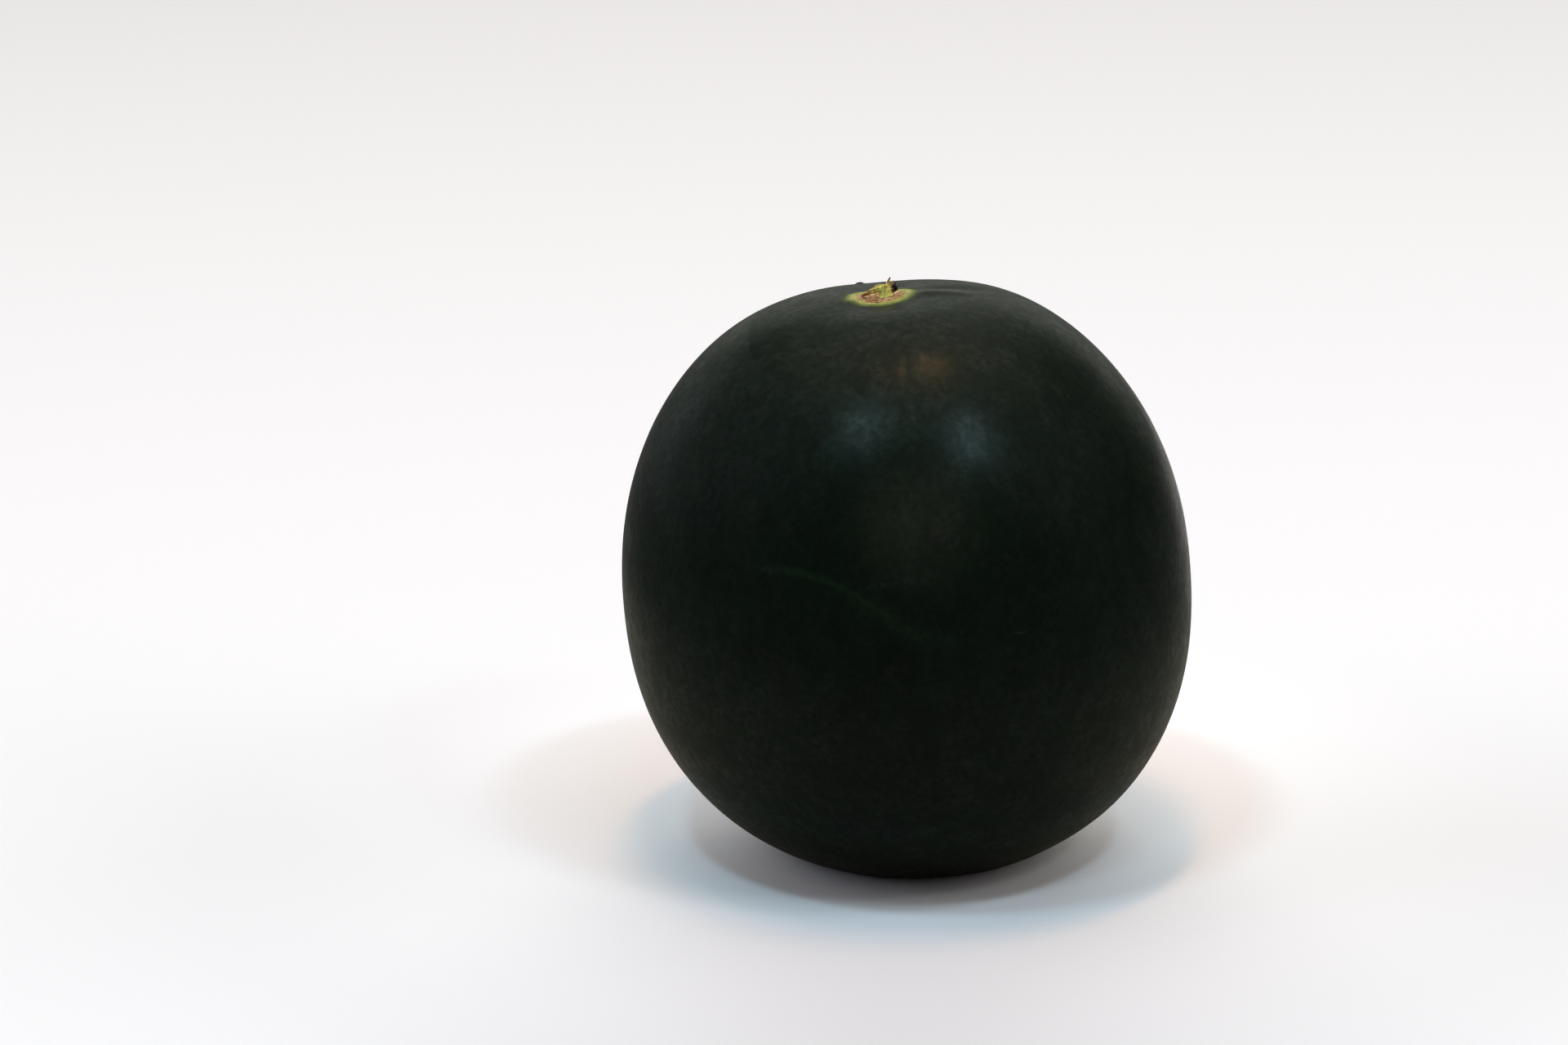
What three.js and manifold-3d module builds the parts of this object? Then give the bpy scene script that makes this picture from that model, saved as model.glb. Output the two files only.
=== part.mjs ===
// A ripe, black-skinned round watermelon standing on its blossom end, with the torn stub of its vine on top.
// Millimetres, +Z up, -Y towards the viewer. The origin is on the resting surface, under the fruit's middle.

import * as THREE from "three";
import { mergeVertices } from "three/addons/utils/BufferGeometryUtils.js";
import Module from "manifold-3d";

const wasm = await Module();
wasm.setup();

// Body of the fruit in its own frame: stem end up, widest ring at height zero. A fullness of 2 is an ellipse.
const GIRTH_RADIUS = 113.8;
const STEM_HALF_HEIGHT = 125.3;
const STEM_FULLNESS = 2.155;
const BLOSSOM_HALF_HEIGHT = 115.9;
const BLOSSOM_FULLNESS = 2.21;
const LOW_DRIFT = 4; // how far the lower half bends to the right by the blossom end

// Stem end: a broad dimple, a low saddle with its valley front to back, and a corky rim round the scar
const DIMPLE_DEPTH = 6.2;
const DIMPLE_RADIUS = 40;
const SADDLE_HEIGHT = 0.7;
const SADDLE_RADIUS = 16;
const CORK_RIM_HEIGHT = 0.45;
const CORK_RIM_RADIUS = 11;
const CORK_RIM_WIDTH = 2.2;

// Soft lobes on the shoulder that fade down the sides and towards the scar, and a fine wave of the sides
const LOBE_START_RADIUS = 60;
const LOBE_WAVES = [
  { count: 2, height: 0.75, crest: -34 },
  { count: 3, height: 1.09, crest: 40.4 },
  { count: 4, height: 0.74, crest: 38.2 },
];
const SIDE_WAVE = { count: 8, height: 0.2, crest: -61.5 };

// How the fruit stands: leaning left, settled on a soft-edged flat spot, with a hollow at the blossom scar
const LEAN = THREE.MathUtils.degToRad(4.8);
const SEAT_HEIGHT = 105.5; // from the resting surface up to the widest ring's centre
const SEAT_SOFTNESS = 2;
const BLOSSOM_HOLLOW_DEPTH = 1.2;
const BLOSSOM_HOLLOW_RADIUS = 8;

// Fineness of the fruit's surface, with rings drawn closer together at both ends
const SEGMENTS = 72;
const RINGS = 46;
const RING_CROWDING = 0.75;
const FLAT_WITHIN = 0.001; // corners that lie this flat among their neighbours are left out

// Torn stub of the vine, as strands measured from the middle of the scar: route points and radii along them
const STEM_GAP = 0.3;
const STRAND_SIDES = 10;
const STRAND_STEPS_A_SPAN = 2;
const SAME_POINT = 1e-4; // corners closer than this are one corner
const STEM_STRANDS = [
  // the stub itself, flared where it grows out of the cork
  { route: [[1.9, 2.05, 0.1], [1.9, 2, 1.4], [2.05, 2, 3], [2.5, 2.2, 4.4]], radii: [3.4, 2.7, 2.5, 1.9] },
  // the strip torn off to the left, arching down over the scar, and a shorter one behind it
  { route: [[1.6, 1, 3.3], [-1.3, 0.95, 3], [-4.3, 0.7, 2.2], [-7.2, 0.5, 1.1]], radii: [1.25, 1, 0.8, 0.5] },
  { route: [[1.4, 2.4, 3.6], [-1.5, 2.2, 3.7], [-4.1, 1.8, 2.7]], radii: [1, 0.7, 0.4] },
  // the splinter that stands up
  { route: [[2.9, 1.7, 3.5], [3.1, 1.8, 5.4], [4.3, 2, 7.1]], radii: [0.95, 0.6, 0.2] },
  // the dry broken end on the right, with a chip and two stiff fibres
  { route: [[3.1, 2.3, 2.2], [4.7, 2.4, 2.5], [6.2, 2.5, 3.2]], radii: [1.7, 1.4, 1.1] },
  { route: [[4.2, 2.3, 3], [4.7, 2.3, 4.1], [5.4, 2.4, 5]], radii: [0.75, 0.6, 0.4] },
  { route: [[5.3, 2.5, 3.4], [5.9, 2.5, 4.4], [6.7, 2.5, 5.3]], radii: [0.5, 0.4, 0.25] },
  { route: [[5.2, 2.4, 2.6], [6.4, 2.4, 3], [7.5, 2.4, 3.7]], radii: [0.5, 0.4, 0.25] },
];

// Radius and height of the plain round body at a polar angle, 0 at the stem end
function profilePoint(polar) {
  const stemHalf = polar < Math.PI / 2;
  const power = 2 / (stemHalf ? STEM_FULLNESS : BLOSSOM_FULLNESS);
  const radius = GIRTH_RADIUS * Math.max(Math.sin(polar), 0) ** power;
  const reach = Math.abs(Math.cos(polar)) ** power;
  if (!stemHalf) {
    return new THREE.Vector2(radius, -BLOSSOM_HALF_HEIGHT * reach);
  }
  const dimple = DIMPLE_DEPTH * Math.exp(-((radius / DIMPLE_RADIUS) ** 2));
  const rim = CORK_RIM_HEIGHT * Math.exp(-(((radius - CORK_RIM_RADIUS) / CORK_RIM_WIDTH) ** 2));
  return new THREE.Vector2(radius, STEM_HALF_HEIGHT * reach - dimple + rim);
}

// Polar angles from the blossom end up to the stem end
function ringAngles() {
  const angles = [];
  for (let ring = 0; ring <= RINGS; ring += 1) {
    const turn = (2 * Math.PI * ring) / RINGS;
    angles.push(Math.PI - (turn - RING_CROWDING * Math.sin(turn)) / 2);
  }
  return angles;
}

// Height of a wave round the fruit
function waveHeight({ count, height, crest }, around) {
  return height * Math.cos(count * (around - THREE.MathUtils.degToRad(crest)));
}

// Pushes the saddle and the lobes out of the round body and bends its lower half to one side
function addLobes(point) {
  const radius = Math.hypot(point.x, point.y);
  const around = Math.atan2(point.y, point.x);
  const rise = Math.max(point.z, 0) / STEM_HALF_HEIGHT;
  const sink = Math.max(-point.z, 0) / BLOSSOM_HALF_HEIGHT;
  const clearOfScar = 1 - Math.exp(-((radius / LOBE_START_RADIUS) ** 2));
  const shoulder = LOBE_WAVES.reduce((sum, wave) => sum + waveHeight(wave, around), 0);
  let lift = clearOfScar * (rise ** 2 * shoulder + waveHeight(SIDE_WAVE, around));
  if (point.z > 0) {
    const out = (radius / SADDLE_RADIUS) ** 2;
    lift += SADDLE_HEIGHT * Math.cos(2 * around) * out * Math.exp(1 - out);
  }
  point.setLength(point.length() + lift);
  point.x += LOW_DRIFT * sink ** 2;
}

// Leans the fruit and presses its underside flat on the resting surface
function settle(point) {
  point.applyAxisAngle(new THREE.Vector3(0, 1, 0), -LEAN);
  point.z += SEAT_HEIGHT;
  if (point.z < -SEAT_SOFTNESS) {
    point.z = 0;
  } else if (point.z < SEAT_SOFTNESS) {
    point.z = (point.z + SEAT_SOFTNESS) ** 2 / (4 * SEAT_SOFTNESS);
  }
}

function fruitGeometry() {
  const geometry = new THREE.LatheGeometry(ringAngles().map(profilePoint), SEGMENTS);
  geometry.rotateX(Math.PI / 2);
  const position = geometry.getAttribute("position");
  const point = new THREE.Vector3();
  for (let i = 0; i < position.count; i += 1) {
    point.fromBufferAttribute(position, i);
    const fromBlossomScar = Math.hypot(point.x, point.y) / BLOSSOM_HOLLOW_RADIUS;
    const underneath = point.z < 0;
    addLobes(point);
    settle(point);
    if (underneath && fromBlossomScar < 1) {
      point.z += BLOSSOM_HOLLOW_DEPTH * (1 - fromBlossomScar ** 2) ** 2;
    }
    position.setXYZ(i, ...point.toArray());
  }
  return geometry;
}

// A tapering strand: a cylinder bent along a smooth route, its radii spread evenly from root to tip
function strandGeometry({ route, radii }) {
  const curve = new THREE.CatmullRomCurve3(route.map((place) => new THREE.Vector3(...place)));
  const along = 1 / (radii.length - 1);
  const taper = new THREE.SplineCurve(radii.map((radius, i) => new THREE.Vector2(i * along, radius)));
  const steps = STRAND_STEPS_A_SPAN * (route.length - 1);
  const frames = curve.computeFrenetFrames(steps);
  const geometry = new THREE.CylinderGeometry(1, 1, 1, STRAND_SIDES, steps);
  const position = geometry.getAttribute("position");
  for (let i = 0; i < position.count; i += 1) {
    const share = position.getY(i) + 0.5;
    const step = Math.round(share * steps);
    const radius = taper.getPoint(share).y;
    const point = curve.getPointAt(share);
    point.addScaledVector(frames.normals[step], radius * position.getX(i));
    point.addScaledVector(frames.binormals[step], -radius * position.getZ(i));
    position.setXYZ(i, ...point.toArray());
  }
  return geometry;
}

function toSolid(geometry) {
  geometry.deleteAttribute("normal");
  geometry.deleteAttribute("uv");
  const merged = mergeVertices(geometry, SAME_POINT);
  const vertProperties = new Float32Array(merged.getAttribute("position").array);
  const triVerts = new Uint32Array(merged.index.array);
  return new wasm.Manifold(new wasm.Mesh({ numProp: 3, vertProperties, triVerts }));
}

function toGeometry(solid) {
  const mesh = solid.getMesh();
  const geometry = new THREE.BufferGeometry();
  geometry.setAttribute("position", new THREE.BufferAttribute(mesh.vertProperties, 3));
  geometry.setIndex(new THREE.BufferAttribute(mesh.triVerts, 1));
  geometry.computeVertexNormals();
  return geometry;
}

// The strands grown together as one piece
function stemGeometry() {
  const strands = STEM_STRANDS.map((strand) => toSolid(strandGeometry(strand)));
  return toGeometry(strands.reduce((joined, strand) => joined.add(strand)));
}

const fruit = new THREE.Mesh(
  toGeometry(toSolid(fruitGeometry()).simplify(FLAT_WITHIN)),
  new THREE.MeshStandardMaterial({ color: 0x131b13, roughness: 0.42, metalness: 0 }),
);
fruit.name = "fruit";

const stem = new THREE.Mesh(
  stemGeometry(),
  new THREE.MeshStandardMaterial({ color: 0x8f8850, roughness: 0.8, metalness: 0 }),
);
stem.name = "stem";
stem.position.z = profilePoint(0).y + STEM_GAP;

// The stem leans with the fruit that it grows from
const stemAxis = new THREE.Group();
stemAxis.position.z = SEAT_HEIGHT;
stemAxis.rotation.y = -LEAN;
stemAxis.add(stem);

const watermelon = new THREE.Group();
watermelon.name = "watermelon";
watermelon.add(fruit, stemAxis);

export default watermelon;
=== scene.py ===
import math

import bpy
from mathutils import Matrix, Vector


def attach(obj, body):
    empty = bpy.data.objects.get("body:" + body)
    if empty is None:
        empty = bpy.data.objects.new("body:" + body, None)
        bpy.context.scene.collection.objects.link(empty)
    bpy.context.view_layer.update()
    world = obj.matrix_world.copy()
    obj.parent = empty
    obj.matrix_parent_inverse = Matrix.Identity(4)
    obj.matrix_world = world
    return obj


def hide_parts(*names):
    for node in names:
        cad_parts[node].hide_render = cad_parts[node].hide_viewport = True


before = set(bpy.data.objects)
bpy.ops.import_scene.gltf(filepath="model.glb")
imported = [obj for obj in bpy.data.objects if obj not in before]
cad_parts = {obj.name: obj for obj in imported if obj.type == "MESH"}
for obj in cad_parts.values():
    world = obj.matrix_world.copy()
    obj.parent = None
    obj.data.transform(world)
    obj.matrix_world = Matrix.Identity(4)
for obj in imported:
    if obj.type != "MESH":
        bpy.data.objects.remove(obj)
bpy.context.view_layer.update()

# Fruit
# A whole ripe watermelon of a round, black-skinned kind, grown as one piece and picked with its vine's end.
# Its rind is hard, smooth and waxy. Soft lobes run down from a shallow dimple with a corky scar, and the
# blossom end is flattened, so the fruit stands on it, leaning a little.

MM = 0.001


def feed(node, sockets):
    """Fills a node's sockets: flows are linked, and plain numbers and colours are set."""
    for key, value in sockets.items():
        if isinstance(value, Flow):
            value.tree.links.new(value.socket, node.inputs[key])
        else:
            node.inputs[key].default_value = value


class Flow:
    """A socket of a node tree. Python's operators on it add the Math nodes that work the value out."""

    def __init__(self, tree, socket=None):
        self.tree = tree
        self.socket = socket

    def node(self, kind, settings=None, sockets=None, output=0):
        """Adds a node, makes its settings, then feeds its sockets, and gives one of its outputs."""
        made = self.tree.nodes.new(kind)
        for name, value in (settings or {}).items():
            setattr(made, name, value)
        feed(made, sockets or {})
        return Flow(self.tree, made.outputs[output] if made.outputs else None)

    def output(self, key):
        """Another output of the node that this socket belongs to."""
        return Flow(self.tree, self.socket.node.outputs[key])

    def maths(self, operation, *values):
        """Adds a Math node."""
        return self.node("ShaderNodeMath", {"operation": operation}, dict(enumerate(values)))

    def vector_maths(self, operation, sockets, output="Vector"):
        """Adds a Vector Math node. Lengths and dot products are its output called Value."""
        return self.node("ShaderNodeVectorMath", {"operation": operation}, sockets, output)

    def __add__(self, other):
        return self.maths("ADD", self, other)

    def __sub__(self, other):
        return self.maths("SUBTRACT", self, other)

    def __rsub__(self, other):
        return self.maths("SUBTRACT", other, self)

    def __mul__(self, other):
        return self.maths("MULTIPLY", self, other)

    def __truediv__(self, other):
        return self.maths("DIVIDE", self, other)

    def __rtruediv__(self, other):
        return self.maths("DIVIDE", other, self)

    def __pow__(self, other):
        return self.maths("POWER", self, other)

    __radd__ = __add__
    __rmul__ = __mul__


def bell(value):
    """1 where the value is 0, falling away on both sides."""
    return value.maths("EXPONENT", value * value * -1)


def ramp(value, start, end):
    """0 up to start, 1 from end on, with a soft step between them."""
    settings = {"interpolation_type": "SMOOTHSTEP"}
    return value.node("ShaderNodeMapRange", settings, {0: value, 1: start, 2: end})


def inside(distance, radius, fade):
    """1 inside a radius and 0 outside it. The fade says where the step starts and ends, past the radius."""
    return 1 - ramp(distance, radius + fade[0], radius + fade[1])


def between(value, ends):
    """1 between the middle two of four ends, fading to 0 at the outer two."""
    fade_in, full_from, full_to, fade_out = ends
    return ramp(value, fade_in, full_from) * (1 - ramp(value, full_to, fade_out))


def vector(x, y, z):
    """One vector from three values, at least one of them a flow."""
    flow = next(part for part in (x, y, z) if isinstance(part, Flow))
    return flow.node("ShaderNodeCombineXYZ", sockets=dict(enumerate((x, y, z))))


def stretched(point, factors):
    """A point with each of its coordinates multiplied."""
    return point.vector_maths("MULTIPLY", {0: point, 1: factors})


def noise(point, size, detail=3.0, roughness=0.5):
    """Soft noise about 0.5, with lumps of about the given size."""
    sockets = {"Vector": point, "Scale": 1 / size, "Detail": detail, "Roughness": roughness}
    return point.node("ShaderNodeTexNoise", sockets=sockets)


def sway(point, size, detail=2.0, roughness=0.5):
    """Soft noise about 0, which reaches about a third to either side."""
    return noise(point, size, detail, roughness) - 0.5


def start_tree(name, sizes):
    """A Geometry Nodes tree with a named input for each size. Gives the tree and the inputs."""
    tree = bpy.data.node_groups.new(name, "GeometryNodeTree")
    tree.interface.new_socket("Geometry", in_out="OUTPUT", socket_type="NodeSocketGeometry")
    for label, value in sizes.items():
        kind = {float: "Float", int: "Int", tuple: "Vector"}[type(value)]
        tree.interface.new_socket(label, in_out="INPUT", socket_type=f"NodeSocket{kind}")
    entry = Flow(tree).node("NodeGroupInput")
    return tree, {label: entry.output(label) for label in sizes}


def end_tree(shape, material):
    """Closes a tree with real geometry, smooth faces and its material."""
    real = shape.node("GeometryNodeRealizeInstances", sockets={"Geometry": shape})
    smooth = real.node("GeometryNodeSetShadeSmooth", sockets={"Geometry": real})
    finished = smooth.node("GeometryNodeSetMaterial", sockets={"Geometry": smooth, "Material": material})
    finished.node("NodeGroupOutput", sockets={"Geometry": finished})


def grow(name, tree, sizes):
    """Runs a tree with these sizes and keeps what it makes as a plain mesh object."""
    piece = bpy.data.objects.new(name, bpy.data.meshes.new(name))
    bpy.context.scene.collection.objects.link(piece)
    modifier = piece.modifiers.new(tree.name, "NODES")
    modifier.node_group = tree
    for item in tree.interface.items_tree:
        if item.in_out == "INPUT":
            modifier[item.identifier] = sizes[item.name]
    evaluated = piece.evaluated_get(bpy.context.evaluated_depsgraph_get())
    mesh = bpy.data.meshes.new_from_object(evaluated)
    piece.modifiers.remove(modifier)
    piece.data = mesh
    return piece


def keep(shape, name, value, kind):
    """Stores a value on the surface under a name, for the material to read."""
    settings = {"data_type": kind, "domain": "POINT"}
    sockets = {"Geometry": shape, "Name": name, "Value": value}
    return shape.node("GeometryNodeStoreNamedAttribute", settings, sockets)


# Sizes in millimetres and radians, with the fruit upright in its own frame and its widest ring at height zero
fruit_sizes = {
    "Girth radius": 113.8,
    "Stem half height": 125.3,
    "Stem fullness": 2.155,
    "Blossom half height": 115.9,
    "Blossom fullness": 2.21,
    "Low drift": 4.0,
    "Dimple depth": 6.2,
    "Dimple radius": 40.0,
    "Cork rim height": 0.45,
    "Cork rim radius": 11.0,
    "Cork rim width": 2.2,
    "Saddle height": 0.7,
    "Saddle radius": 16.0,
    "Side lobe": 0.2,
    "Lobe start radius": 60.0,
    "Lean": math.radians(4.8),
    "Seat height": 105.5,
    "Seat softness": 2.0,
    "Blossom hollow depth": 1.2,
    "Blossom hollow radius": 8.0,
    "Waver": 0.5,
    "Cork relief": 1.0,
    "Cork sink": 0.2,
    "Scab height": 0.7,
    "Columns": 300,
    "Rings": 310,
}
# Waves round the shoulder: how many, how high, and where a crest lies in degrees
LOBE_WAVES = ((2, 0.75, -34), (3, 1.09, 40.4), (4, 0.74, 38.2))
# The finer wave of the sides: how many, and where a crest lies
SIDE_WAVE = (8, -61.5)
# A soft fold beside the scar, as a ridge and a hollow: middle, reach along and across it, and height
FOLDS = (((23.0, -1.5), (11.0, 3.5), 0.5), ((25.0, 6.5), (12.0, 4.0), -0.5))
# How far apart the slow swellings of the grown skin are
WAVER_SIZE = 55.0
# A faint groove down the front, below the scar. Its ends are the heights where it fades in and out
GROOVE_AT = 8.9
GROOVE_WIDTH = 1.4
GROOVE_ENDS = (76.0, 92.0, 106.0, 113.0)
GROOVE_DEPTH = 0.2
# The cork of the scar: its crust's size, detail and roughness, and its edge's wobbles by size and reach
CORK_RADIUS = 9.9
CORK_SLOPE = (-0.8, 0.8)
CRUST = (1.8, 4.0, 0.6)
SCAR_WOBBLES = ((7.0, 3.0), (2.2, 2.2))
# A dry scab behind the scar, with a ragged edge
SCAB_AT = (-9.1, 40.0)
SCAB_RADIUS = 1.9
SCAB_SLOPE = (-1.1, 0.0)
SCAB_WOBBLE = (1.5, 1.2)
# The rings of the mesh lie closer at both ends, and corners as near as the seam's are made one
RING_CROWDING = 0.9
SEAM_GAP = 0.001


def scar_distance(own, radius):
    """Distance from the stem axis, wandering in and out as the edge of the scar does."""
    for wobble_size, wobble in SCAR_WOBBLES:
        radius = radius + sway(own, wobble_size) * wobble
    return radius


def scab_distance(own):
    """Distance from the middle of the scab, seen from above, with a ragged edge."""
    off = own.vector_maths("SUBTRACT", {0: own, 1: (*SCAB_AT, 0)})
    flat = stretched(off, (1, 1, 0))
    wobble_size, wobble = SCAB_WOBBLE
    return flat.vector_maths("LENGTH", {0: flat}, "Value") + sway(own, wobble_size) * wobble


def fruit_tree(material):
    """Wraps a flat grid, one unit wide, round the fruit, from the blossom end up to the stem end."""
    tree, size = start_tree("Melon skin", fruit_sizes)
    sockets = {"Vertices X": size["Columns"] + 1, "Vertices Y": size["Rings"] + 1}
    grid = Flow(tree).node("GeometryNodeMeshGrid", sockets=sockets)
    spread = grid.node("ShaderNodeSeparateXYZ", sockets={0: grid.node("GeometryNodeInputPosition")})
    around = (spread.output("X") + 0.5) * math.tau
    turn = (spread.output("Y") + 0.5) * math.tau
    polar = math.pi - (turn - turn.maths("SINE", turn) * RING_CROWDING) * 0.5

    # The round body, squarer in the shoulder than an ellipse, with a dimple and a corky rim at the stem end
    top = polar.maths("LESS_THAN", polar, math.pi / 2)
    low = 1 - top
    power = 2 / (size["Stem fullness"] * top + size["Blossom fullness"] * low)
    radius = size["Girth radius"] * polar.maths("MAXIMUM", polar.maths("SINE", polar), 0) ** power
    cosine = polar.maths("COSINE", polar)
    reach = cosine.maths("ABSOLUTE", cosine) ** power
    dimple = size["Dimple depth"] * bell(radius / size["Dimple radius"])
    rim = size["Cork rim height"] * bell((radius - size["Cork rim radius"]) / size["Cork rim width"])
    stem_end = size["Stem half height"] * reach - dimple + rim
    height = top * stem_end - low * size["Blossom half height"] * reach
    x = radius * around.maths("COSINE", around)
    y = radius * around.maths("SINE", around)
    own = vector(x, y, height)

    # Lobes that fade down the sides and towards the scar
    lobes = 0
    for count, lobe_height, crest in LOBE_WAVES:
        angle = (around - math.radians(crest)) * count
        lobes = angle.maths("COSINE", angle) * lobe_height + lobes
    side_count, side_crest = SIDE_WAVE
    side_angle = (around - math.radians(side_crest)) * side_count
    rise = height.maths("MAXIMUM", height, 0) / size["Stem half height"]
    sink = height.maths("MAXIMUM", height * -1, 0) / size["Blossom half height"]
    clear_of_scar = 1 - bell(radius / size["Lobe start radius"])
    side_lobe = size["Side lobe"] * side_angle.maths("COSINE", side_angle)
    lobe = clear_of_scar * (lobes * rise * rise + side_lobe)

    # A saddle round the scar, the fold beside it, the slight waver of grown skin, and the groove in front
    out = radius / size["Saddle radius"]
    out = out * out
    double = around * 2
    folds = size["Saddle height"] * double.maths("COSINE", double) * out * out.maths("EXPONENT", 1 - out)
    for (fold_x, fold_y), (reach_x, reach_y), fold_height in FOLDS:
        folds = bell((x - fold_x) / reach_x) * bell((y - fold_y) / reach_y) * fold_height + folds
    waver = sway(own, WAVER_SIZE) * size["Waver"] * clear_of_scar
    front = y.maths("LESS_THAN", y, 0)
    groove = front * between(height, GROOVE_ENDS) * bell((x - GROOVE_AT) / GROOVE_WIDTH)
    waver = waver - groove * GROOVE_DEPTH

    # The rough cork of the scar, and the dry scab behind it
    cork = top * inside(scar_distance(own, radius), CORK_RADIUS, CORK_SLOPE)
    crust = cork * (sway(own, *CRUST) * size["Cork relief"] - size["Cork sink"])
    scab = top * size["Scab height"] * inside(scab_distance(own), SCAB_RADIUS, SCAB_SLOPE)
    length = own.vector_maths("LENGTH", {0: own}, "Value")
    swell = 1 + (lobe + top * folds + waver + crust + scab) / length
    drift = size["Low drift"] * sink * sink

    # Leaning, and settled on its flattened end, with a hollow at the blossom scar
    grown = own.vector_maths("SCALE", {0: own, "Scale": swell})
    bent = grown.vector_maths("ADD", {0: grown, 1: vector(drift, 0, 0)})
    sockets = {"Vector": bent, "Angle": size["Lean"] * -1}
    leaning = bent.node("ShaderNodeVectorRotate", {"rotation_type": "Y_AXIS"}, sockets)
    placed = leaning.node("ShaderNodeSeparateXYZ", sockets={0: leaning})
    above = placed.output("Z") + size["Seat height"]
    soft = size["Seat softness"]
    pressed = above.maths("MINIMUM", above.maths("MAXIMUM", above + soft, 0), soft * 2)
    seated = pressed * pressed / (soft * 4) + above.maths("MAXIMUM", above - soft, 0)
    from_scar = radius / size["Blossom hollow radius"]
    in_hollow = 1 - from_scar * from_scar
    in_hollow = in_hollow.maths("MAXIMUM", in_hollow, 0)
    hollow = low * size["Blossom hollow depth"] * in_hollow * in_hollow
    place = vector(placed.output("X") * MM, placed.output("Y") * MM, (seated + hollow) * MM)

    shaped = keep(grid, "own", own, "FLOAT_VECTOR")
    shaped = shaped.node("GeometryNodeSetPosition", sockets={"Geometry": shaped, "Position": place})
    sockets = {"Geometry": shaped, "Distance": SEAM_GAP * MM}
    end_tree(shaped.node("GeometryNodeMergeByDistance", sockets=sockets), material)
    return tree


def start_material(name):
    """A new material: the material, a flow to build its nodes from, and its shader."""
    material = bpy.data.materials.new(name)
    material.use_nodes = True
    return material, Flow(material.node_tree), material.node_tree.nodes["Principled BSDF"]


def blend(factor, first, second):
    """Mixes two colours. The node's sockets go by number, because their names repeat."""
    return factor.node("ShaderNodeMix", {"data_type": "RGBA"}, {0: factor, 6: first, 7: second}, 2)


def blotches(point, size, detail, roughness, start, end):
    """Soft blotches: 0 where the noise is under start, and 1 where it is over end."""
    return ramp(noise(point, size, detail, roughness), start, end)


DEEP_GREEN = (0.0022, 0.0070, 0.0033, 1)
LEAF_GREEN = (0.0032, 0.0108, 0.0042, 1)
BLOOM_GREY = (0.011, 0.0145, 0.013, 1)
PORE_PALE = (0.07, 0.085, 0.05, 1)
HALO_OUTER = (0.07, 0.10, 0.024, 1)
HALO_INNER = (0.335, 0.345, 0.088, 1)
CORK_BROWN = (0.40, 0.265, 0.12, 1)
CORK_DARK = (0.15, 0.062, 0.035, 1)
CORK_PALE = (0.55, 0.40, 0.25, 1)
SCAB_BLACK = (0.012, 0.01, 0.008, 1)
STREAK_GREEN = (0.0076, 0.0262, 0.0100, 1)
SCUFF_GREY = (0.060, 0.076, 0.072, 1)
SCRATCH_GREY = (0.09, 0.10, 0.09, 1)
# Blotches in skin and cork: size, the noise's detail and roughness, and where they start and are full
MOTTLE = (9.0, 6.0, 0.65, 0.36, 0.66)
BLOOM = (2.4, 4.0, 0.65, 0.42, 0.68)
BLOOM_PATCHES = (42.0, 2.0, 0.5, 0.38, 0.64)
BREAKS = (2.2, 4.0, 0.65, 0.38, 0.62)
HALO_FLECKS = (1.2, 3.0, 0.6, 0.36, 0.6)
PALE_CORK = (2.4, 3.0, 0.5, 0.54, 0.66)
WAX_CLUMPS = (3.2, 5.0, 0.7, 0.34, 0.66)
WAX_DRIFTS = (10.0, 2.0, 0.5, 0.36, 0.64)
# The mottling is drawn out up and down the fruit, and the bloom over it is faint
MOTTLE_STRETCH = (1, 1, 0.6)
BLOOM_STRENGTH = 0.35
# A pale streak that steps down across the front: where it steps, how far, and over what length
STREAK_MIDDLE = (-8.0, 25.5)
STREAK_DROP = 16.0
STREAK_LENGTH = 21.0
STREAK_ENDS = (-62.0, -44.0, -12.0, 26.0)
STREAK_WIDTH = 1.5
STREAK_WANDER_SIZE = 9.0
STREAK_WANDER = 3.0
STREAK_LEAST = 0.4
STREAK_BREAKS = 0.45
# The soft smear under its steep part
SMEAR_BELOW = 1.5
SMEAR_WIDTH = 4.5
SMEAR_MIDDLE = 2.0
SMEAR_LENGTH = 26.0
SMEAR_LEAST = 0.15
# A short scratch near the end of the streak
SCRATCH_AT = (43.9, 10.2)
SCRATCH_LENGTH = 1.8
SCRATCH_WIDTH = 0.2
SCRATCH_SLOPE = 0.06
SCRATCH_STRENGTH = 0.35
# Dry scuffs: middle, reach across and up, and strength. They fade out towards the sides of the fruit
SCUFFS = (
    ((0.4, 35.5), (7.0, 1.5), 0.18),
    ((-9.0, 34.0), (3.0, 1.0), 0.18),
    ((-106.8, 37.0), (2.6, 4.5), 0.6),
    ((-109.5, 7.0), (2.2, 5.0), 0.25),
)
SCUFF_FADE = (3.0, 24.0)
# Sparse pores: how far apart they are, and their radius
PORE_SPACING = 8.0
PORE_RADIUS = 0.28
PORE_FADE = (0.0, 0.2)
PORE_STRENGTH = 0.15
# Where the colours of the scars step, past the edge of each
HALO_FADE = (3.4, 6.4)
RIPE_FADE = (0.6, 4.6)
RIPE_LEAST = 0.55
RIPE_FLECKS = 0.45
CORK_FADE = (-0.9, 0.3)
SCAB_FADE = (-0.8, 0.1)
BLOSSOM_SCAR_RADIUS = 5.5
BLOSSOM_SCAR_FADE = (-1.0, 0.4)
# The crumbs of the cork as noise, and where it turns from dark to brown
CRUMBS = (1.6, 4.0, 0.6)
CRUMB_STEP = (0.38, 0.56)
# How much wax covers the bare skin, and how much more its clumps and drifts hold
WAX_THIN = 0.20
WAX_CLUMP = 0.18
WAX_DRIFT = 0.30
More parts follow.
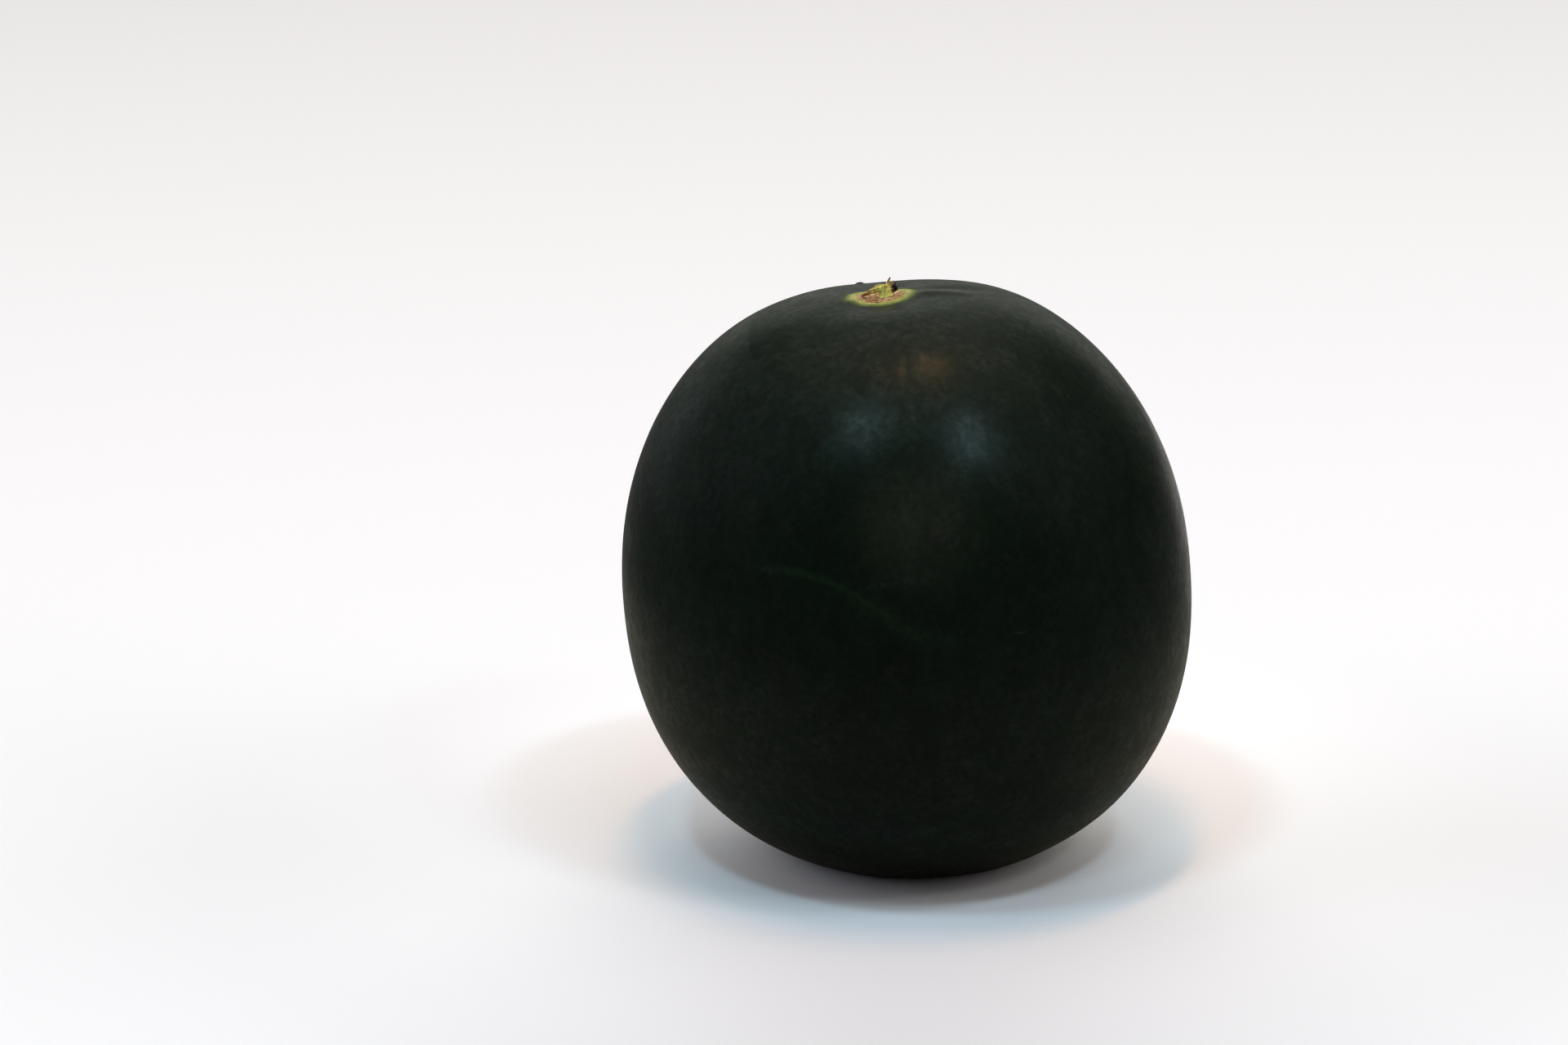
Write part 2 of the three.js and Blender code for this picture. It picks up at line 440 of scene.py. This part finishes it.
# The roughness of the skin, and what the halo, the cork and the blossom scar add to it
RIND_ROUGHNESS = 0.34
HALO_ROUGHER = 0.2
CORK_ROUGHER = 0.3
BLOSSOM_ROUGHER = 0.4
# The fine grain of the skin: size, detail and height
SKIN_GRAINS = ((1.7, 3.0, 0.02), (0.6, 2.0, 0.006))
CORK_GRAIN = 0.2


def rind_material():
    material, flow, shader = start_material("waxy_rind")
    own = flow.node("ShaderNodeAttribute", {"attribute_name": "own"}, output="Vector")
    split = own.node("ShaderNodeSeparateXYZ", sockets={0: own})
    x, y, z = (split.output(axis) for axis in "XYZ")
    radius = x.maths("SQRT", x * x + y * y)
    top = z.maths("GREATER_THAN", z, 0)
    front = y.maths("LESS_THAN", y, 0)

    # Faint long mottling in the green, and a thin uneven bloom of wax
    skin = blend(blotches(stretched(own, MOTTLE_STRETCH), *MOTTLE), DEEP_GREEN, LEAF_GREEN)
    bloom = blotches(own, *BLOOM) * blotches(own, *BLOOM_PATCHES)
    skin = blend(bloom * BLOOM_STRENGTH, skin, BLOOM_GREY)

    # A thin greener streak, broken along its length, with a soft smear under its steep part
    step = (x - STREAK_MIDDLE[0]) / STREAK_LENGTH
    course = STREAK_MIDDLE[1] - STREAK_DROP * step.maths("TANH", step)
    below = course + sway(own, STREAK_WANDER_SIZE, detail=3.0) * STREAK_WANDER - z
    broken = blotches(own, *BREAKS)
    streak = front * between(x, STREAK_ENDS) * bell(below / STREAK_WIDTH)
    streak = streak * (STREAK_LEAST + broken * STREAK_BREAKS)
    smear = front * bell((below - SMEAR_BELOW) / SMEAR_WIDTH) * bell((x - SMEAR_MIDDLE) / SMEAR_LENGTH)
    smear = smear * (SMEAR_LEAST + broken * STREAK_BREAKS)
    skin = blend(streak.maths("MAXIMUM", streak, smear), skin, STREAK_GREEN)

    # A short scratch, a few dry scuffs and sparse pale pores
    along = x - SCRATCH_AT[0]
    across = z - SCRATCH_AT[1] + along * SCRATCH_SLOPE
    scratch = front * bell(along / SCRATCH_LENGTH) * bell(across / SCRATCH_WIDTH)
    skin = blend(scratch * SCRATCH_STRENGTH, skin, SCRATCH_GREY)
    forward = ramp(y * -1, *SCUFF_FADE)
    for (scuff_x, scuff_z), (scuff_width, scuff_height), strength in SCUFFS:
        scuff = forward * bell((x - scuff_x) / scuff_width) * bell((z - scuff_z) / scuff_height)
        skin = blend(scuff * broken * strength, skin, SCUFF_GREY)
    pores = own.node("ShaderNodeTexVoronoi", sockets={"Vector": own, "Scale": 1 / PORE_SPACING})
    pore = inside(pores * PORE_SPACING, PORE_RADIUS, PORE_FADE)
    skin = blend(pore * PORE_STRENGTH, skin, PORE_PALE)

    # The scar: a yellow-green halo that fades into the rind, round brown cork
    edge = scar_distance(own, radius)
    halo = top * inside(edge, CORK_RADIUS, HALO_FADE)
    ripe = inside(edge, CORK_RADIUS, RIPE_FADE)
    ripe = ripe * (RIPE_LEAST + blotches(own, *HALO_FLECKS) * RIPE_FLECKS)
    skin = blend(halo, skin, blend(ripe, HALO_OUTER, HALO_INNER))
    cork = top * inside(edge, CORK_RADIUS, CORK_FADE)
    crumbs = noise(own, *CRUMBS)
    corky = blend(ramp(crumbs, *CRUMB_STEP), CORK_DARK, CORK_BROWN)
    corky = blend(blotches(own, *PALE_CORK), corky, CORK_PALE)
    colour = blend(cork, skin, corky)

    # The blossom scar underneath, and the scab
    blossom = (1 - top) * inside(edge, BLOSSOM_SCAR_RADIUS, BLOSSOM_SCAR_FADE)
    colour = blend(blossom, colour, corky)
    scab = top * inside(scab_distance(own), SCAB_RADIUS, SCAB_FADE)
    colour = blend(scab, colour, SCAB_BLACK)

    # Wax lies on the skin in small clumps, which break up what it reflects
    dull = halo + cork + blossom
    wax = WAX_THIN + blotches(own, *WAX_CLUMPS) * (WAX_CLUMP + blotches(own, *WAX_DRIFTS) * WAX_DRIFT)
    wax = wax * (1 - dull.maths("MINIMUM", dull, 1))
    roughness = RIND_ROUGHNESS + halo * HALO_ROUGHER + cork * CORK_ROUGHER + blossom * BLOSSOM_ROUGHER
    grain = cork * crumbs * CORK_GRAIN
    for grain_size, detail, grain_height in SKIN_GRAINS:
        grain = noise(own, grain_size, detail) * grain_height + grain
    normal = grain.node("ShaderNodeBump", sockets={"Strength": 1.0, "Distance": MM, "Height": grain})
    feed(shader, {"Base Color": colour, "Roughness": roughness, "Normal": normal, "Coat Weight": wax})
    feed(shader, {"Specular IOR Level": 0.15, "Coat Roughness": 0.28, "Coat IOR": 1.4})
    return material


fruit = grow("Fruit", fruit_tree(rind_material()), fruit_sizes)
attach(fruit, "root")
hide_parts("fruit")

# Stem
# The torn end of the vine, still grown onto the cork of the scar. It is green, ridged and stringy: one strip
# has been pulled off to the left, a splinter stands up, and the right side ends in a dark, broken end,
# brown where it has dried and near-black at its tip, where painted shade stands in for its hollow.

strand_sizes = {
    "Root": (0.0, 0.0, 0.0),
    "Bend": (0.0, 0.0, 1.0),
    "Tip": (0.0, 0.0, 2.0),
    "Root radius": 1.0,
    "Tip radius": 0.5,
    "Flare": 0.0,
    "Ridges": 6,
    "Ridge depth": 0.15,
    "Lump": 0.1,
    "Jag": 0.4,
    "Dry root": 0.0,
    "Dry tip": 0.5,
    "Seed": 0.0,
    "Steps": 40,
    "Sides": 48,
}
# How much of a strand the flare at its root takes up, and where its torn tip starts
FLARE_REACH = 0.25
TORN_FROM = 0.7
# How many strings there are round a strand and along it, and how much of the relief is ridges and strings
STRINGS_ROUND = 3
STRINGS_ALONG = 1.5
RIDGE_SHARE = 0.5
STRING_SHARE = 2.5
# The size of its lumps, how far apart the seeds set them, and the size of its tears
LUMP_SIZE = 2.4
SEED_STEP = 10
TEAR_SIZE = 0.6
# Brings noise that reaches a third to either side up to about 1
FULL_SWAY = 3


def strand_tree(material):
    """Sweeps a ring along a bent path, and roughens it as torn vine is."""
    tree, size = start_tree("Torn strand", strand_sizes)
    sockets = {"Resolution": size["Steps"], "Start": size["Root"], "Middle": size["Bend"], "End": size["Tip"]}
    path = Flow(tree).node("GeometryNodeCurveQuadraticBezier", sockets=sockets)
    along = path.node("GeometryNodeSplineParameter")
    path = keep(path, "along", along, "FLOAT")
    sockets = {"Resolution": size["Sides"], "Radius": 1.0}
    outline = Flow(tree).node("GeometryNodeCurvePrimitiveCircle", sockets=sockets)
    outline = keep(outline, "round", along, "FLOAT")
    thickness = size["Root radius"] + (size["Tip radius"] - size["Root radius"]) * along
    thickness = thickness + size["Flare"] * bell(along / FLARE_REACH)
    sockets = {"Curve": path, "Profile Curve": outline, "Scale": thickness, "Fill Caps": True}
    strand = path.node("GeometryNodeCurveToMesh", sockets=sockets)

    # Ridges and strings run lengthwise, with lumps between them
    kept = {"data_type": "FLOAT"}
    along = strand.node("GeometryNodeInputNamedAttribute", kept, {"Name": "along"})
    turn = strand.node("GeometryNodeInputNamedAttribute", kept, {"Name": "round"}) * math.tau
    ridge = turn * size["Ridges"]
    ridge = ridge.maths("COSINE", ridge)
    strings_x = turn.maths("COSINE", turn) * STRINGS_ROUND
    strings_y = turn.maths("SINE", turn) * STRINGS_ROUND
    strings = vector(strings_x, strings_y, along * STRINGS_ALONG + size["Seed"])
    relief = ridge * RIDGE_SHARE + sway(strings, 1.0, detail=3.0) * STRING_SHARE
    relief = size["Ridge depth"] * relief
    place = strand.node("GeometryNodeInputPosition")
    lumps = place.vector_maths("ADD", {0: place, 1: vector(0, 0, size["Seed"] * SEED_STEP)})
    relief = relief + size["Lump"] * sway(lumps, LUMP_SIZE) * FULL_SWAY
    normal = strand.node("GeometryNodeInputNormal")
    out = normal.vector_maths("SCALE", {0: normal, "Scale": relief})

    # The tip is torn, and the strand dries from one end to the other
    way = path.vector_maths("SUBTRACT", {0: size["Tip"], 1: size["Bend"]})
    way = way.vector_maths("NORMALIZE", {0: way})
    torn = sway(strings, TEAR_SIZE) * FULL_SWAY * size["Jag"] * ramp(along, TORN_FROM, 1.0)
    tear = way.vector_maths("SCALE", {0: way, "Scale": torn})
    move = out.vector_maths("ADD", {0: out, 1: tear})
    strand = strand.node("GeometryNodeSetPosition", sockets={"Geometry": strand, "Offset": move})
    dryness = size["Dry root"] + (size["Dry tip"] - size["Dry root"]) * along
    end_tree(keep(strand, "dry", dryness, "FLOAT"), material)
    return tree


FRESH = (0.80, 0.78, 0.265, 1)
FRESH_DARK = (0.46, 0.47, 0.12, 1)
# What it dries through, and how dry it is where each colour starts and is full.
# The near-black last one is also painted shade, standing in for the hollow at the tip of the right end
DRY_COLOURS = (
    ((0.38, 0.19, 0.075, 1), 0.25, 0.5),
    ((0.36, 0.29, 0.23, 1), 0.5, 0.7),
    # near-black: also painted shade for the hollow of the broken end on the right
    ((0.010, 0.007, 0.006, 1), 0.72, 0.9),
)
# Fine strings in the colour, drawn out lengthwise, and patches that are more or less dry
STRING_WIDTH = 0.5
STRING_STRETCH = (1, 1, 0.3)
STRING_STEP = (0.38, 0.62)
STRING_RELIEF = 0.15
DRY_PATCH_SIZE = 1.5
DRY_PATCH_STRENGTH = 0.75


def stem_material():
    material, flow, shader = start_material("torn_vine")
    place = flow.node("ShaderNodeTexCoord", output="Object")
    dry = flow.node("ShaderNodeAttribute", {"attribute_name": "dry"}, output="Fac")
    dry = dry + sway(place, DRY_PATCH_SIZE * MM) * DRY_PATCH_STRENGTH
    strings = noise(stretched(place, STRING_STRETCH), STRING_WIDTH * MM, detail=4.0, roughness=0.6)
    colour = blend(ramp(strings, *STRING_STEP), FRESH_DARK, FRESH)
    for dry_colour, start, full in DRY_COLOURS:
        colour = blend(ramp(dry, start, full), colour, dry_colour)
    sockets = {"Strength": 0.6, "Distance": STRING_RELIEF * MM, "Height": strings}
    normal = strings.node("ShaderNodeBump", sockets=sockets)
    feed(shader, {"Base Color": colour, "Roughness": 0.75, "Normal": normal, "Specular IOR Level": 0.3})
    return material


# Each strand in the scar's own frame, in millimetres: its root, the point it bends towards and its tip
FIBRE = {"Ridges": 3, "Ridge depth": 0.04, "Lump": 0.05, "Jag": 0.1}
STRANDS = (
    # the stub
    {"Root": (1.9, 2.2, -0.8), "Bend": (1.8, 1.9, 2.0), "Tip": (2.5, 2.2, 4.2),
     "Root radius": 2.7, "Tip radius": 2.1, "Flare": 0.8, "Ridges": 5, "Ridge depth": 0.25, "Lump": 0.45,
     "Jag": 0.7, "Dry root": -0.05, "Dry tip": 0.38},
    # the strip torn off to the left, and a thinner one behind it
    {"Root": (1.6, 1.0, 3.3), "Bend": (-2.6, 0.9, 3.3), "Tip": (-7.3, 0.5, 1.0),
     "Root radius": 1.25, "Tip radius": 0.5, "Ridges": 3, "Ridge depth": 0.25, "Lump": 0.3,
     "Jag": 0.8, "Dry root": 0.08, "Dry tip": 0.6, "Seed": 3.0},
    {"Root": (1.4, 2.4, 3.6), "Bend": (-1.6, 2.3, 4.3), "Tip": (-4.2, 1.8, 2.6),
     "Root radius": 1.0, "Tip radius": 0.35, "Ridges": 3, "Ridge depth": 0.2, "Lump": 0.25,
     "Jag": 0.6, "Dry root": 0.3, "Dry tip": 0.5, "Seed": 5.0},
    # the splinter that stands up
    {"Root": (2.9, 1.7, 3.4), "Bend": (2.9, 1.8, 5.6), "Tip": (4.3, 2.0, 7.2),
     "Root radius": 0.95, "Tip radius": 0.13, "Ridges": 3, "Ridge depth": 0.14, "Lump": 0.12,
     "Jag": 0.3, "Dry root": 0.05, "Dry tip": 0.64, "Seed": 7.0},
    # the broken end on the right, dried brown, with painted shade for its hollow as near-black at the tip,
    # and a pale chip on it
    {"Root": (3.1, 2.3, 2.2), "Bend": (4.8, 2.4, 2.4), "Tip": (6.2, 2.5, 3.2),
     "Root radius": 1.7, "Tip radius": 1.15, "Ridges": 4, "Ridge depth": 0.25, "Lump": 0.4,
     "Jag": 0.7, "Dry root": 0.3, "Dry tip": 1.15, "Seed": 9.0},
    {"Root": (4.2, 2.3, 3.0), "Bend": (4.6, 2.3, 4.2), "Tip": (5.4, 2.4, 5.0),
     "Root radius": 0.75, "Tip radius": 0.4, "Ridges": 3, "Ridge depth": 0.15, "Lump": 0.15,
     "Jag": 0.5, "Dry root": 0.45, "Dry tip": 0.64, "Seed": 11.0},
    # stiff fibres
    FIBRE | {"Root": (5.3, 2.5, 3.4), "Bend": (5.9, 2.5, 4.4), "Tip": (6.7, 2.5, 5.3),
             "Root radius": 0.35, "Tip radius": 0.12, "Dry root": 1.0, "Dry tip": 0.8, "Seed": 13.0},
    FIBRE | {"Root": (5.2, 2.4, 2.6), "Bend": (6.4, 2.4, 2.9), "Tip": (7.6, 2.4, 3.7),
             "Root radius": 0.35, "Tip radius": 0.12, "Dry root": 1.0, "Dry tip": 0.9, "Seed": 15.0},
    FIBRE | {"Root": (5.0, 2.2, 3.6), "Bend": (5.4, 2.1, 5.0), "Tip": (5.2, 2.0, 5.9),
             "Root radius": 0.3, "Tip radius": 0.1, "Dry root": 0.7, "Dry tip": 0.64, "Seed": 17.0},
)


def join(name, pieces):
    """Joins plain mesh objects into one piece."""
    with bpy.context.temp_override(active_object=pieces[0], selected_editable_objects=pieces):
        bpy.ops.object.join()
    pieces[0].name = name
    return pieces[0]


torn_strand = strand_tree(stem_material())
stem = join("Stem", [grow("Strand", torn_strand, strand_sizes | strand) for strand in STRANDS])
scar_height = fruit_sizes["Stem half height"] - fruit_sizes["Dimple depth"] - fruit_sizes["Cork sink"]
to_scar = Matrix.Translation((0, 0, scar_height))
lean = Matrix.Rotation(-fruit_sizes["Lean"], 4, "Y")
to_seat = Matrix.Translation((0, 0, fruit_sizes["Seat height"])) @ lean
stem.data.transform(Matrix.Scale(MM, 4) @ to_seat @ to_scar)
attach(stem, "root")
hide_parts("stem")

# Studio
# A wide pale floor in a white room, lit by a warm lamp overhead, cool lamps in front and bright low walls.
# What the rind reflects is lit apart from that, by panes and patches of its own. The camera looks slightly
# down at the fruit from the front.

FLOOR_HALF = 30.0
FLOOR_FINISH = {"Roughness": 0.8, "Specular IOR Level": 0.0}
# The floor's colour near the fruit and away from it, and how far from the middle it changes, in metres.
# It is painted paler near the fruit: painted light round the fruit, not a colour of the floor itself
FLOOR_NEAR = (0.745, 0.75, 0.755, 1)
FLOOR_AWAY = (0.68, 0.69, 0.70, 1)
FLOOR_CHANGE = (0.14, 0.30)
# The same as the rind reflects it, which is dimmer, but for a stretch behind the fruit that lights its rims
REFLECTED_NEAR = (0.27, 0.265, 0.23, 1)
REFLECTED_AWAY = (0.08, 0.08, 0.08, 1)
REFLECTED_CHANGE = (0.2, 0.6)
REFLECTED_BEHIND = (0.58, 0.58, 0.56, 1)
# That stretch: where it fades in and out, how it slants to the right, and how wide it starts and widens
BEHIND_ENDS = (0.12, 0.5, 0.9, 2.2)
BEHIND_SLANT = 0.3
BEHIND_WIDTH = 0.1
BEHIND_WIDENING = 0.35

floor_mesh = bpy.data.meshes.new("Floor")
corners = [(x * FLOOR_HALF, y * FLOOR_HALF, 0) for x, y in ((-1, -1), (1, -1), (1, 1), (-1, 1))]
floor_mesh.from_pydata(corners, [], [(0, 1, 2, 3)])
floor = bpy.data.objects.new("Floor", floor_mesh)
bpy.context.scene.collection.objects.link(floor)
floor_material, floor_flow, floor_shader = start_material("pale_floor")
floor_place = floor_flow.node("ShaderNodeTexCoord", output="Object")
from_middle = floor_place.vector_maths("LENGTH", {0: floor_place}, "Value")
# Painted light: the floor is paler near the fruit than away from it
floor_colour_painted_lighter_near = blend(ramp(from_middle, *FLOOR_CHANGE), FLOOR_NEAR, FLOOR_AWAY)
feed(floor_shader, {"Base Color": floor_colour_painted_lighter_near} | FLOOR_FINISH)

floor_split = floor_place.node("ShaderNodeSeparateXYZ", sockets={0: floor_place})
back = floor_split.output("Y")
aside = floor_split.output("X") - back * BEHIND_SLANT
behind = between(back, BEHIND_ENDS) * bell(aside / (BEHIND_WIDTH + back * BEHIND_WIDENING))
reflected_colour = blend(ramp(from_middle, *REFLECTED_CHANGE), REFLECTED_NEAR, REFLECTED_AWAY)
reflected_colour = blend(behind, reflected_colour, REFLECTED_BEHIND)
sockets = {"Base Color": reflected_colour} | FLOOR_FINISH
reflected_floor = floor_flow.node("ShaderNodeBsdfPrincipled", sockets=sockets)
reflected_ray = floor_flow.node("ShaderNodeLightPath", output="Is Glossy Ray")
plain_floor = Flow(floor_material.node_tree, floor_shader.outputs["BSDF"])
sockets = {0: reflected_ray, 1: plain_floor, 2: reflected_floor}
floor_look = floor_flow.node("ShaderNodeMixShader", sockets=sockets)
feed(floor_material.node_tree.nodes["Material Output"], {"Surface": floor_look})
floor_mesh.materials.append(floor_material)

FRUIT_MIDDLE = Vector((0, 0, 0.11))
LAMP_DISTANCE = 5.0
# Lamps that light the floor and cast shadows: the way towards them, width and depth in metres, watts, tint
FLOOR_LAMPS = (
    ("Overhead lamp", (-0.02, 0.01, 1), (1.5, 0.35), 62.0, (1.0, 0.49, 0.23)),
    ("Left lamp", (-0.28, -0.3, 1), (0.8, 0.35), 49.0, (0.53, 0.82, 1.0)),
    ("Right lamp", (0.4, -0.31, 1), (0.8, 0.35), 38.0, (0.72, 0.84, 1.0)),
    ("Front lamp", (0.12, -0.47, 1), (2.0, 0.4), 39.0, (0.63, 0.89, 1.0)),
    ("Far right lamp", (0.75, -0.6, 1), (1.0, 0.5), 19.0, (0.92, 1.0, 0.98)),
)
# Panes that only show as soft reflections in the rind, given in the same way
REFLECTED_PANES = (
    ("Left pane", (-0.25, -0.365, 0.897), (1.0, 1.7), 25.0, (0.60, 0.90, 1.0)),
    ("Right pane", (0.385, -0.43, 0.817), (1.0, 1.7), 32.5, (0.60, 0.90, 1.0)),
    ("Warm pane", (0.085, 0.13, 0.988), (0.5, 0.5), 16.5, (1.0, 0.61, 0.33)),
    ("Small warm pane", (-0.069, 0.099, 0.993), (0.2, 0.2), 2.5, (1.0, 0.66, 0.38)),
)


def add_lamp(name, direction, size, power, tint):
    """Hangs a flat lamp some way off, facing the fruit."""
    light = bpy.data.lights.new(name, "AREA")
    light.shape = "RECTANGLE"
    light.size, light.size_y = size
    light.energy = power
    light.color = tint
    lamp = bpy.data.objects.new(name, light)
    towards = Vector(direction).normalized()
    lamp.location = FRUIT_MIDDLE + LAMP_DISTANCE * towards
    lamp.rotation_euler = towards.to_track_quat("Z", "Y").to_euler()
    bpy.context.scene.collection.objects.link(lamp)
    return lamp


for lamp_settings in FLOOR_LAMPS:
    add_lamp(*lamp_settings).visible_glossy = False
for pane_settings in REFLECTED_PANES:
    add_lamp(*pane_settings).visible_diffuse = False

# What the camera sees past the edge of the floor
SEEN_LIGHT = (0.9, 0.9, 0.9, 1)
# Light from all round, and soft patches of it: the way to the middle, cosines at rim and core, the light
ROOM_LIGHT = (0.0, 0.0, 0.0, 1)
ROOM_PATCHES = (
    ("right wall", (1, 0, 0.25), 0.78, 0.97, (2.57, 2.40, 2.37)),
    ("right corner", (0.7, 0.7, 0.25), 0.78, 0.97, (1.73, 1.57, 1.40)),
    ("back wall", (0, 1, 0.25), 0.78, 0.97, (5.77, 5.81, 5.67)),
    ("left corner", (-0.7, 0.7, 0.25), 0.78, 0.97, (1.80, 1.73, 1.62)),
    ("left wall", (-1, 0, 0.25), 0.78, 0.97, (2.84, 2.86, 3.13)),
)
# The same for what the rind reflects, which is dimmer
REFLECTED_LIGHT = (0.050, 0.052, 0.050, 1)
REFLECTED_PATCHES = (
    ("ceiling", (0.03, 0.22, 0.97), 0.66, 0.99, (0.82, 0.79, 0.67)),
    ("back wall", (0.1, 0.97, 0.15), 0.80, 0.98, (0.34, 0.35, 0.31)),
    ("left corner", (-0.82, 0.55, 0.15), 0.84, 0.98, (0.22, 0.25, 0.26)),
    ("ceiling on the left", (-0.62, -0.15, 0.75), 0.76, 0.96, (0.19, 0.24, 0.25)),
    ("ceiling on the right", (0.67, -0.15, 0.72), 0.72, 0.96, (0.27, 0.29, 0.27)),
    ("room in front", (0.07, -0.87, 0.48), 0.90, 0.99, (0.88, 0.81, 0.67)),
)
world = bpy.data.worlds.new("Surround")
world.use_nodes = True
bpy.context.scene.world = world
sky = Flow(world.node_tree)
sky_way = sky.node("ShaderNodeTexCoord", output="Generated")


def surround(all_round, patches):
    """Even light with soft brighter patches in it, each a Mix node labelled with its name."""
    light_here = all_round
    for name, direction, rim, core, light in patches:
        sockets = {0: sky_way, 1: Vector(direction).normalized()}
        towards = sky_way.vector_maths("DOT_PRODUCT", sockets, "Value")
        settings = {"label": name, "data_type": "RGBA", "blend_type": "ADD", "clamp_result": False}
        sockets = {0: ramp(towards, rim, core), 6: light_here, 7: (*light, 1)}
        light_here = sky_way.node("ShaderNodeMix", settings, sockets, 2)
    return light_here


seen_ray = sky.node("ShaderNodeLightPath", output="Is Camera Ray")
room = surround(ROOM_LIGHT, ROOM_PATCHES)
shown = blend(seen_ray.output("Is Glossy Ray"), room, surround(REFLECTED_LIGHT, REFLECTED_PATCHES))
shown = blend(seen_ray, shown, SEEN_LIGHT)
feed(world.node_tree.nodes["Background"], {"Color": shown, "Strength": 1.0})

# Plain colours, with the middle tones a little deeper
VIEW_GAMMA = 0.82
bpy.context.scene.view_settings.view_transform = "Standard"
bpy.context.scene.view_settings.gamma = VIEW_GAMMA

# The picture's size and focal length in pixels, its scale at the fruit, and where the fruit's middle lies
IMAGE_WIDTH, IMAGE_HEIGHT = 1920, 1280
FOCAL_PIXELS = 4735.0
PIXELS_A_METRE = 3050.0
MIDDLE_AT = (1109.6, 703.65)
CAMERA_ELEVATION = math.radians(17)
SENSOR_WIDTH = 36.0
camera_data = bpy.data.cameras.new("Camera")
camera_data.sensor_width = SENSOR_WIDTH
camera_data.lens = FOCAL_PIXELS / IMAGE_WIDTH * SENSOR_WIDTH
camera = bpy.data.objects.new("Camera", camera_data)
pan = math.atan((MIDDLE_AT[0] - IMAGE_WIDTH / 2) / FOCAL_PIXELS)
tilt = math.atan((MIDDLE_AT[1] - IMAGE_HEIGHT / 2) / FOCAL_PIXELS)
towards_camera = Vector((0, -math.cos(CAMERA_ELEVATION), math.sin(CAMERA_ELEVATION)))
stand = Matrix.Translation(FRUIT_MIDDLE + towards_camera * FOCAL_PIXELS / PIXELS_A_METRE)
aim = Matrix.Rotation(math.pi / 2 - CAMERA_ELEVATION + tilt, 4, "X") @ Matrix.Rotation(pan, 4, "Y")
camera.matrix_world = stand @ aim
bpy.context.scene.collection.objects.link(camera)
bpy.context.scene.camera = camera
